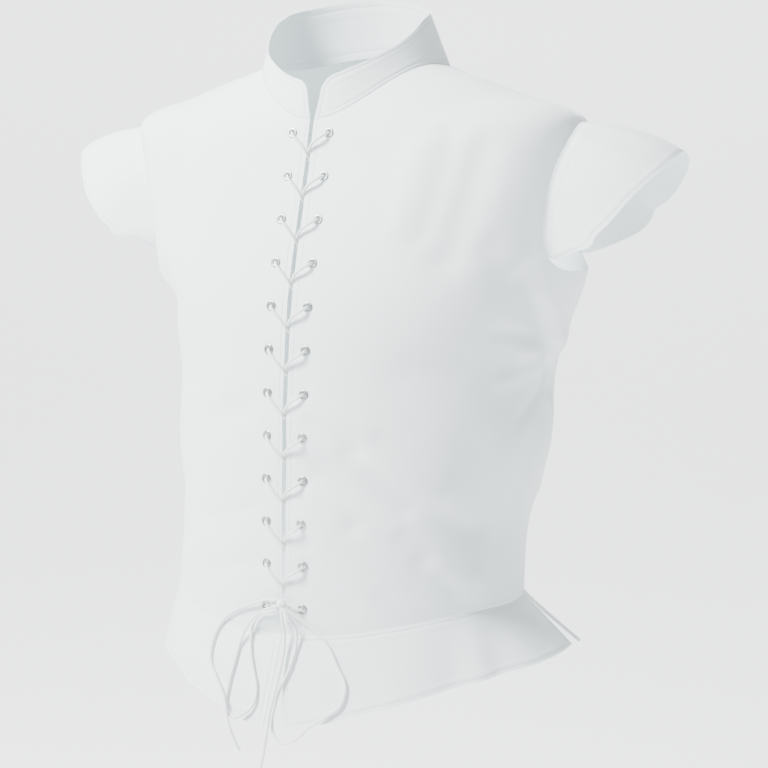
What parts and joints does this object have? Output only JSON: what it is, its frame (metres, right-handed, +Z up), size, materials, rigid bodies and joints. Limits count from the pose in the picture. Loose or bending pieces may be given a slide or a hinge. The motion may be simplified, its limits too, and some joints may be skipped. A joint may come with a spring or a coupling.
{
  "type": "doublet",
  "caption": "Hollow laced doublet with a stand collar, cap sleeves and a short skirt, standing as if worn.",
  "frame": {"origin": "midway between the two points where the shoulder seams reach the neck seam, where the wearer's shoulders hold it", "axes": "+Z up, the wearer faces -Y, +X is the wearer's left"},
  "size_m": [0.6375, 0.3159, 0.7279],
  "materials": {
    "white_twill": "soft sheen",
    "white_lace": "matte braid",
    "eyelet_steel": "satin"
  },
  "bodies": {
    "root": {"front_right": "white_twill", "front_left": "white_twill", "back": "white_twill", "collar": "white_twill", "sleeve_right": "white_twill", "sleeve_left": "white_twill", "skirt_front_right": "white_twill", "skirt_front_left": "white_twill", "skirt_back": "white_twill", "eyelet_right_01": "eyelet_steel", "eyelet_right_02": "eyelet_steel", "eyelet_right_03": "eyelet_steel", "eyelet_right_04": "eyelet_steel", "eyelet_right_05": "eyelet_steel", "eyelet_right_06": "eyelet_steel", "eyelet_right_07": "eyelet_steel", "eyelet_right_08": "eyelet_steel", "eyelet_right_09": "eyelet_steel", "eyelet_right_10": "eyelet_steel", "eyelet_right_11": "eyelet_steel", "eyelet_right_12": "eyelet_steel", "eyelet_left_01": "eyelet_steel", "eyelet_left_02": "eyelet_steel", "eyelet_left_03": "eyelet_steel", "eyelet_left_04": "eyelet_steel", "eyelet_left_05": "eyelet_steel", "eyelet_left_06": "eyelet_steel", "eyelet_left_07": "eyelet_steel", "eyelet_left_08": "eyelet_steel", "eyelet_left_09": "eyelet_steel", "eyelet_left_10": "eyelet_steel", "eyelet_left_11": "eyelet_steel", "eyelet_left_12": "eyelet_steel", "lace_left_half": "white_lace", "lace_right_half": "white_lace", "lace_knot": "white_lace", "loop_left": "white_lace", "loop_right": "white_lace", "tail_left": "white_lace", "tail_right": "white_lace"}
  },
  "joints": []
}
